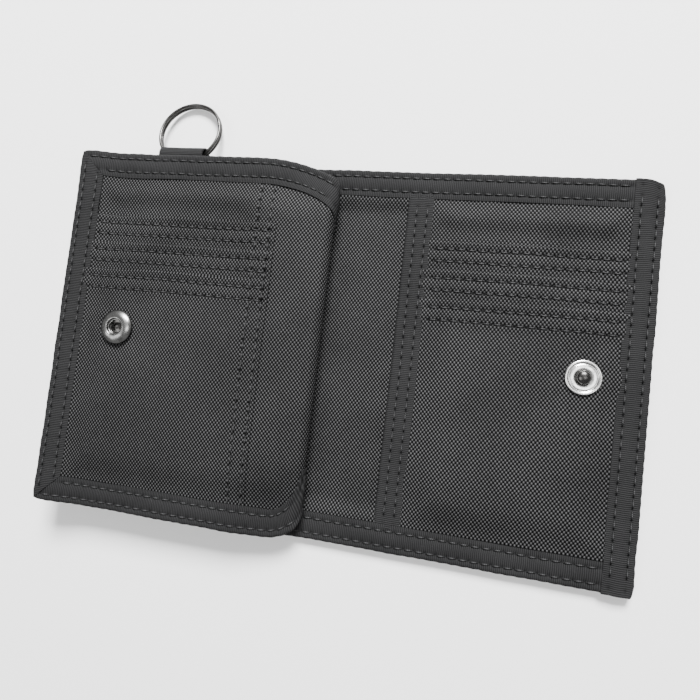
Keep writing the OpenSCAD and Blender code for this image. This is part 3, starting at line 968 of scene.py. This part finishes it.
def pocket_pieces(face, prefix, on):
    """The card slots and the front pocket of one face, with their hem stitches."""
    seams = []
    for level, (slot, mouth, bottom) in enumerate(zip(SLOTS, slot_mouths, slot_lows), 1):
        bottom = max(bottom, -half_h + bind_w - 1.5)
        made = face.slot_panel(f"{prefix}_{slot}_fabric", level, mouth, bottom)
        declare(made, "ballistic_nylon", on, f"{prefix}_{slot}",
                flat=(face.x1 - face.x0, mouth - bottom), held="laid")
        seams += face.hem_seams(level, mouth)
    return seams


def right_pockets(face):
    """The note pocket's panel and its taped mouth, the card slots and the pocket on it."""
    x = spread(mouth_x + 0.6, half_w - FABRIC_IN, 1.2)
    y = spread(-half_h + FABRIC_IN, half_h - FABRIC_IN, 1.2)
    grid_x, grid_y = np.meshgrid(x, y, indexing="ij")
    h = face.layer(grid_x, grid_y, 0)
    h = np.minimum(h, face.layer(np.clip(grid_x, face.x0, face.x1), grid_y, 0))
    h = h - below_tape(grid_x, grid_y)
    top = flat(grid_x, grid_y, h)
    made = sheet_piece("right_note_panel", np.stack([grid_x, grid_y], 2), top,
                       top - [0, 0, NOTE_T], NYLON)
    declare(made, "ballistic_nylon", "right_cover", "right_pocket_panel",
            flat=(x[-1] - x[0], y[-1] - y[0]), held="laid")

    reach = half_h - bind_w + 1.2
    tape = Tape(lambda s: (mouth_x, s, 1.0, 0.0), (-reach, reach), mouth_faces, width=mouth_w,
                rows=MOUTH_ROWS, seed=51, blunt=0.0)
    tape.piece("right_mouth_binding", "right_cover", 2 * reach, "right_mouth_tape")
    seams = pocket_pieces(face, "right", "right_cover") + tape.seams(trim=(1.5, 1.5))
    stitches("right_pocket_stitches", "right_cover", seams)


def leaf_panel_height(face, p, q):
    """The leaf's front fabric: under the slots, and nearly flush with them beside them."""
    beside = smooth((p - leaf_slot_x1 + SIDE_ROWS[1]) / 5)
    flush = face.height(p, q) - HEM_PULL * face.side_stitched(p, q) - 0.3
    return mix(face.layer(p, q, 0), flush, beside)


def leaf_pouch(face):
    """The leaf's fabric in one piece: front, roll at the spine side, and back."""
    q = np.concatenate([spread(-half_h + 1.2, -46, 0.8), spread(-46, 46, 1.3)[1:-1],
                        spread(46, half_h - 1.2, 0.8)])
    end = outline_p(q + np.sign(q) * 1.2 * smooth((np.abs(q) - 50) / 6))
    start = -half_w + 1.2
    share = np.concatenate([np.linspace(0, 0.012, 7), np.linspace(0.012, 0.80, 76)[1:],
                            np.linspace(0.80, 1, 46)[1:]])
    p = start + share[:, None] * (end - start)
    grid_q = np.broadcast_to(q, p.shape)
    inset = leaf_inset(p, grid_q)
    near_fold = smooth((p - roll_x + 6) / 6)
    top_h = leaf_panel_height(face, p, grid_q) * (1 - near_fold)
    top_h = top_h - 0.5 * smooth((bind_w - 0.4 - inset) / 1.2) * (1 - near_fold)
    top_h = top_h - 0.5 * near_fold * smooth((bind_w + 1 - inset) / 4)
    front = leaf_bend(p, grid_q, top_h)
    angle = np.clip(p - roll_x, 0, None) / roll_r
    depth = leaf_low + (roll_r - leaf_droop(p, grid_q) / 2) * (1 - np.cos(angle))
    sag = 0.8 * smooth((inset - 12) / 12) * (1 - near_fold) * (1 + 0.3 * noise(p, grid_q, 15, 77))
    side_wall = smooth(1 - (p - start - 0.1) / 0.9)
    end_wall = smooth(1 - (outline_q(p, grid_q) - np.abs(grid_q) - 6.4) / 2.8)
    back_z = mix(depth - sag, front[:, :, Z] - 1.7, np.maximum(side_wall, end_wall))
    back = np.stack([front[:, :, X], grid_q, back_z], 2)
    top = np.concatenate([front, back[-2::-1]])
    length = np.concatenate([p, 2 * end[None] - p[-2::-1]])
    uv = np.stack([length, np.broadcast_to(q, length.shape)], 2)
    normal = grid_normals(top)
    stitched = face.side_stitched(p, grid_q)
    stitched = np.concatenate([stitched, 0 * stitched[-2::-1]])
    made = sheet_piece("leaf_pouch", uv, top, top - normal * POUCH_T, NYLON,
                       stitched=stitched)
    declare(made, "ballistic_nylon", "leaf_fabric", "leaf_wrap", "leaf_gusset",
            flat=(2 * (apex_p - start), q[-1] - q[0]), held="folded")
    inner_bag(p, grid_q, front, back)


def leaf_hinge():
    """The strip that joins the leaf to the cover's bound edge, folded at the hinge."""
    reach = half_h - bind_w + 2
    y = spread(-reach, reach, 1.5)
    fold_x, leg = leaf_hinge_x + 0.15, 6.0
    turn = np.radians(np.linspace(-90, -270, 9))
    x = np.concatenate([spread(fold_x + leg, fold_x + 0.3, 0.6),
                        fold_x + HINGE_GAP / 2 * np.cos(turn),
                        spread(fold_x + 0.3, fold_x + leg, 0.6)])
    z = np.concatenate([np.full(len(x) // 2 - 4, -1.0), np.sin(turn), np.full(len(x) // 2 - 4, 1.0)])
    z = leaf_low - 0.1 + HINGE_GAP / 2 * (z - 1)
    along = np.concatenate([[0], np.cumsum(np.hypot(np.diff(x), np.diff(z)))])
    grid_a, grid_y = np.meshgrid(along, y, indexing="ij")
    top = np.stack([x[:, None] + 0 * grid_y, grid_y, z[:, None] + 0 * grid_y], 2)
    normal = grid_normals(top)
    made = sheet_piece("leaf_hinge_strip", np.stack([grid_a, grid_y], 2), top,
                       top - normal * 0.1, NYLON)
    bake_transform(made)


def inner_bag(p, q, front, back):
    """The flat lining bag inside the leaf, a soft pad that keeps the leaf full."""
    keep = (slice(12, -14, 2), slice(10, -10, 2))
    upper, lower = front[keep].copy(), back[keep].copy()
    closing = smooth(np.minimum(np.arange(upper.shape[0])[:, None], np.arange(upper.shape[1])) / 3)
    ending = smooth(np.minimum(np.arange(upper.shape[0])[::-1][:, None],
                               np.arange(upper.shape[1])[::-1]) / 3)
    half = np.clip((upper[:, :, Z] - lower[:, :, Z]) / 2 - 1.0, 0.3, None) * closing * ending
    centre = (upper[:, :, Z] + lower[:, :, Z]) / 2
    upper[:, :, Z], lower[:, :, Z] = centre + half + 0.1, centre - half - 0.1
    uv = np.stack([p[keep], q[keep]], 2)
    made = sheet_piece("leaf_inner_bag", uv, upper, lower, LINING)
    declare(made, "lining_nylon", "leaf_fabric", "leaf_lining_bag")


def leaf_side_seams(face):
    """The double row that closes the slots towards the fold, over the leaf's full height."""
    made = []
    for row in SIDE_ROWS:
        def curve(s, lift, row=row):
            p = leaf_slot_x1 - row - SIDE_SLANT * s
            layers = [leaf_panel_height(face, p, s)]
            for level, mouth in enumerate(slot_mouths, 1):
                layers.append(np.where(s < mouth, face.layer(p, s, level, mouth), -9.0))
            return leaf_bend(p, s, np.maximum.reduce(layers) + lift)
        reach = half_h - bind_w + 0.5
        made.append((curve, -reach, reach))
    return made


# --- covers
def cover_sheet(name, x0, x1, surface, thick, material, on, *nodes, step=1.6):
    """One flat layer of the covers, from x0 to x1 and over their whole height."""
    reach = half_h - FABRIC_IN
    x, y = spread(x0, x1, step), spread(-reach, reach, step)
    grid_x, grid_y = np.meshgrid(x, y, indexing="ij")
    top = flat(grid_x, grid_y, surface(grid_x, grid_y))
    made = sheet_piece(name, np.stack([grid_x, grid_y], 2), top, top - [0, 0, thick], material)
    slot = "lining_nylon" if material is LINING else "ballistic_nylon"
    declare(made, slot, on, *nodes, flat=(x1 - x0, 2 * reach), held="laid")


def edge_inset(x, y):
    return np.minimum(half_w - np.abs(x), half_h - np.abs(y))


def outer_height(x, y):
    """The outer fabric's upper side: on the table, and up over the bindings' lower legs."""
    rise = smooth(1 - (edge_inset(x, y) - bind_w) / 3)
    return 0.62 + 0.5 * rise + 0.03 * noise(x, y, 12, 90)


def below_tape(x, y):
    """How much lower the fabric lies once it has passed under a binding's inner edge."""
    return 0.55 * smooth((bind_w - 0.4 - edge_inset(x, y)) / 1.2)


def inner_height(x, y):
    """The inner face of the covers and of the spine, a little loose over the spine."""
    loose = np.exp(-((x - spine_mid - 6) / 9) ** 2) * smooth((edge_inset(x, y) - bind_w) / 10)
    slack = smooth((edge_inset(x, y) - bind_w) / 6)
    to_tape = (1 - slack) * (1 - smooth((x - mouth_x - 2) / 5))
    return (lining_top + 0.55 * loose + (1.3 - below_tape(x, y)) * to_tape
            + slack * (0.25 * noise(x, y, 15, 93) + 0.12 * noise(x, y, 6, 94)))


def lining_height(x, y):
    return inner_height(x, y) - 0.15


def covers():
    edge = half_w - FABRIC_IN
    cover_sheet("left_outer_fabric", -edge, spine_mid, outer_height, OUTER_T, OUTER_NYLON,
                "left_fold", "left_outer_shell", "spine_shell")
    cover_sheet("right_outer_fabric", spine_mid, edge, outer_height, OUTER_T, OUTER_NYLON,
                "right_fold", "right_outer_shell")
    cover_sheet("left_inner_lining", -edge, fold_a - 3.9, lining_height, LINING_T, LINING,
                "left_cover", "left_lining")
    cover_sheet("spine_panel", fold_a - 6.5, spine_mid, inner_height, INNER_T, NYLON,
                "left_fold", "spine_lining", step=0.9)
    cover_sheet("right_inner_panel", spine_mid, edge, inner_height, INNER_T, NYLON,
                "right_fold", "right_lining")


# --- metal parts
def arc_points(centre, radius, start, end, count):
    """Points of an arc in (radius, height), angles in degrees."""
    turn = np.radians(np.linspace(start, end, count))
    return [(centre[0] + radius * math.cos(t), centre[1] + radius * math.sin(t)) for t in turn]


def snap_size(node, centre):
    """Where a snap part stands, its radius and its height."""
    base = np.array([centre[X], centre[Y], low(node, Z)])
    return base, (high(node, X) - low(node, X)) / 2, high(node, Z) - low(node, Z)


def snap_socket():
    """The socket: a rolled rim, a flat shoulder, a raised collar round the hole."""
    base, rim, tall = snap_size("snap_socket", socket)
    bore = 2.85
    outline = [(0, 0.35), (0.5, 0.52), (1.0, 0.46), (1.35, 0.3), (1.6, 0.26), (bore - 0.25, 0.26),
               (bore, 0.45), (bore, tall - 1.3), (bore + 0.15, tall - 1.1)]
    outline += arc_points((bore + 0.42, tall - 0.42), 0.42, 180, 75, 6)
    outline += [(3.9, tall - 0.06), (4.5, tall - 0.22), (5.0, tall - 0.5), (rim - 0.45, tall - 0.85)]
    outline += arc_points((rim - 0.6, 0.8), 0.6, 40, -35, 7)
    outline += [(rim - 0.5, 0.0), (3.0, -0.05), (0, -0.05)]
    # The floor of the socket's hole takes the black nickel as painted shade.
    made = turned_piece("snap_socket_cap", base, outline, AGED_NICKEL, 96, bore - 0.1)
    declare(made, "nickel", "leaf", "snap_socket")

    turn = np.radians(np.linspace(25, 335, 48))
    flat_in = 1 - 0.2 * np.abs(np.cos(turn)) ** 3
    spring = np.stack([base[X] + 2.72 * np.cos(turn), base[Y] + 2.72 * flat_in * np.sin(turn),
                       np.full(48, base[Z] + tall / 2 + 0.25)], 1)
    made = mesh_piece("snap_spring", *wire_tube(spring, 0.26, 10), AGED_NICKEL, sharp=60)
    declare(made, "dark_nickel", "leaf", "snap_socket_spring")


def snap_stud():
    """The stud: a dished flange with a rolled rim, and the ball that the socket grips."""
    base, rim, tall = snap_size("snap_stud", stud)
    outline = [(2.0, 0.3), (2.4, 0.36), (2.7, 0.52), (3.1, 0.58), (3.9, 0.62), (4.1, 0.56),
               (4.25, 0.36), (4.4, 0.36), (4.55, 0.6), (4.75, 0.74), (rim - 0.5, 0.8)]
    outline += arc_points((rim - 0.42, 0.4), 0.4, 80, -40, 8)
    outline += [(rim - 0.5, 0.02), (3.0, -0.05), (0, -0.05)]
    made = turned_piece("snap_stud_flange", base, [(0, 0.25), (1.5, 0.25)] + outline, NICKEL, 96)
    declare(made, "nickel", "right_cover", "snap_stud")
    ball = 2.15
    dome = np.radians(np.linspace(90, -35, 14))
    waist = 1.45
    outline = [(ball * math.cos(t), waist + (tall - waist) * math.sin(t)) for t in dome]
    outline += [(1.6, 0.5), (1.75, 0.3), (0, 0.26)]
    # The ball's black nickel is a painted dark reflection. The real ball is polished and mirrors dark
    # surroundings.
    made = turned_piece("snap_stud_ball", base, outline, DARK_NICKEL_AND_SHADE, 64)
    declare(made, "dark_nickel", "right_cover")


def split_ring():
    """A ring of two turns of wire, whose ends step over from one turn to the other."""
    wire = 0.6
    outer = (high("split_ring", X) - low("split_ring", X)) / 2
    radius = outer - wire
    turns = np.linspace(math.radians(-48), math.radians(-48 + 712), 240)
    step = smooth((turns - turns[0] - 2 * math.pi + 0.55) / 0.8)
    height = mix(-wire, wire, step) * 1.01
    path = np.stack([radius * np.cos(turns), radius * np.sin(turns), height], 1)
    tip = np.minimum(np.arange(240), np.arange(240)[::-1])
    thick = wire * (0.8 + 0.2 * smooth(tip / 2))
    points, quads, uv = wire_tube(path, thick, 16)
    tilt = math.atan2(ring[Z] - loop_pivot[Z], ring[Y] - loop_pivot[Y])
    turn = np.array(Matrix.Rotation(tilt, 3, "X"))
    made = mesh_piece("split_ring_wire", points @ turn.T + ring, quads, uv, DARK_NICKEL_AND_SHADE, sharp=60)
    declare(made, "dark_nickel", "ring", "split_ring")


def ring_loop():
    """The tape folded round the ring, its ends sewn between the cover and the leaf."""
    x0, x1 = low("ring_loop", X), high("ring_loop", X)
    x = spread(x0 - 0.6, x1 + 0.6, 0.9)
    tab_y, tab_z = low("ring_loop", Y), low("ring_loop", Z)
    out = high("ring_loop", Y) - loop_pivot[Y]
    start = [(tab_y, tab_z), (tab_y + 2, tab_z), (loop_pivot[Y] - 3.6, tab_z)]
    angles = np.radians(np.linspace(-118, 128, 30))
    round_part = [(loop_pivot[Y] + out * math.cos(a), loop_pivot[Z] + out * math.sin(a))
                  for a in angles]
    end = [(loop_pivot[Y] - 3.9, loop_pivot[Z] + 0.6), (loop_pivot[Y] - 5.2, tab_z + 1.7),
           (tab_y + 2, tab_z + 1.4), (tab_y, tab_z + 1.4)]
    path = np.array(start + round_part + end)
    steps = np.concatenate([[0], np.cumsum(np.linalg.norm(np.diff(path, axis=0), axis=1))])
    along = np.linspace(0, steps[-1], 70)
    y = np.interp(along, steps, path[:, 0])
    z = np.interp(along, steps, path[:, 1])
    grid_x, grid_a = np.meshgrid(x, along, indexing="ij")
    flare = 1 + 0.05 * (2 * (grid_x - x[0]) / (x[-1] - x[0]) - 1) ** 2
    away = np.maximum(y - loop_pivot[Y], -2)[None] * (flare - 1)
    top = np.stack([grid_x, y[None] + away, z[None] + 0.12 * noise(grid_x, grid_a, 4, 44)], 2)
    normal = -grid_normals(top)
    outward = (normal[:, 35, Y] > 0).mean() > 0.5
    normal = normal if outward else -normal
    made = sheet_piece("ring_loop_tape", np.stack([grid_a, grid_x], 2), top,
                       top - normal * LOOP_T, TAPE, flip=outward)
    declare(made, "grosgrain_tape", "left_cover", "ring_loop", flat=(x[-1] - x[0], steps[-1]),
            held="folded")


def rivets():
    """The rivets inside the fabric are the frame's own, in nickel."""
    for name in ("snap_socket_post", "snap_stud_post"):
        node = frame["nodes"][name]
        node.data.materials.clear()
        node.data.materials.append(NICKEL)


# --- studio
def camera():
    """Almost straight down, from above the spine, with the wallet turned a little."""
    place = Vector((41.2, -8.4, 175.4)) * MM
    target = Vector((5.6, 1.2, 0.0)) * MM
    upright = Vector((-0.102, 0.992, 0.075))
    ahead = (target - place).normalized()
    right = ahead.cross(upright).normalized()
    above = right.cross(ahead)
    data = bpy.data.cameras.new("camera")
    data.sensor_width = 36.0
    data.lens = 26.26
    data.clip_start = 0.01
    made = bpy.data.objects.new("camera", data)
    made.matrix_world = Matrix((right, above, -ahead)).transposed().to_4x4()
    made.location = place
    bpy.context.scene.collection.objects.link(made)
    bpy.context.scene.camera = made


def area_light(name, place, target, size, power):
    data = bpy.data.lights.new(name, "AREA")
    data.shape = "RECTANGLE"
    data.size, data.size_y = size
    data.energy = power
    made = bpy.data.objects.new(name, data)
    made.location = place
    made.rotation_mode = "QUATERNION"
    made.rotation_quaternion = (Vector(target) - Vector(place)).to_track_quat("-Z", "Y")
    bpy.context.scene.collection.objects.link(made)


def studio():
    world = bpy.data.worlds.new("studio")
    world.use_nodes = True
    background = world.node_tree.nodes["Background"]
    background.inputs["Color"].default_value = (1, 1, 1, 1)
    background.inputs["Strength"].default_value = 0.42
    bpy.context.scene.world = world
    area_light("key", (0.1, 0.95, 0.8), (0, 0, 0), (0.55, 0.4), 76.0)
    area_light("fill", (-0.7, -0.35, 1.0), (0, 0, 0), (0.7, 0.7), 7.0)
    area_light("overhead", (0.38, 0.0, 1.1), (0, 0, 0), (0.45, 0.45), 3.6)
    size = 3.0
    x = np.linspace(-size, size, 9) / MM
    grid_x, grid_y = np.meshgrid(x, x, indexing="ij")
    top = flat(grid_x, grid_y, np.full_like(grid_x, -0.15))
    floor = sheet_piece("floor", np.stack([grid_x, grid_y], 2), top, top - [0, 0, 5], paper_floor())


camera()
studio()
covers()
cover_bindings()
right_face, leaf_face = make_faces()
right_pockets(right_face)
leaf_pouch(leaf_face)
leaf_hinge()
leaf_seams = pocket_pieces(leaf_face, "leaf", "leaf_fabric") + leaf_bindings()
stitches("leaf_stitches", "leaf_fabric", leaf_seams + leaf_side_seams(leaf_face))
snap_socket()
snap_stud()
split_ring()
ring_loop()
rivets()
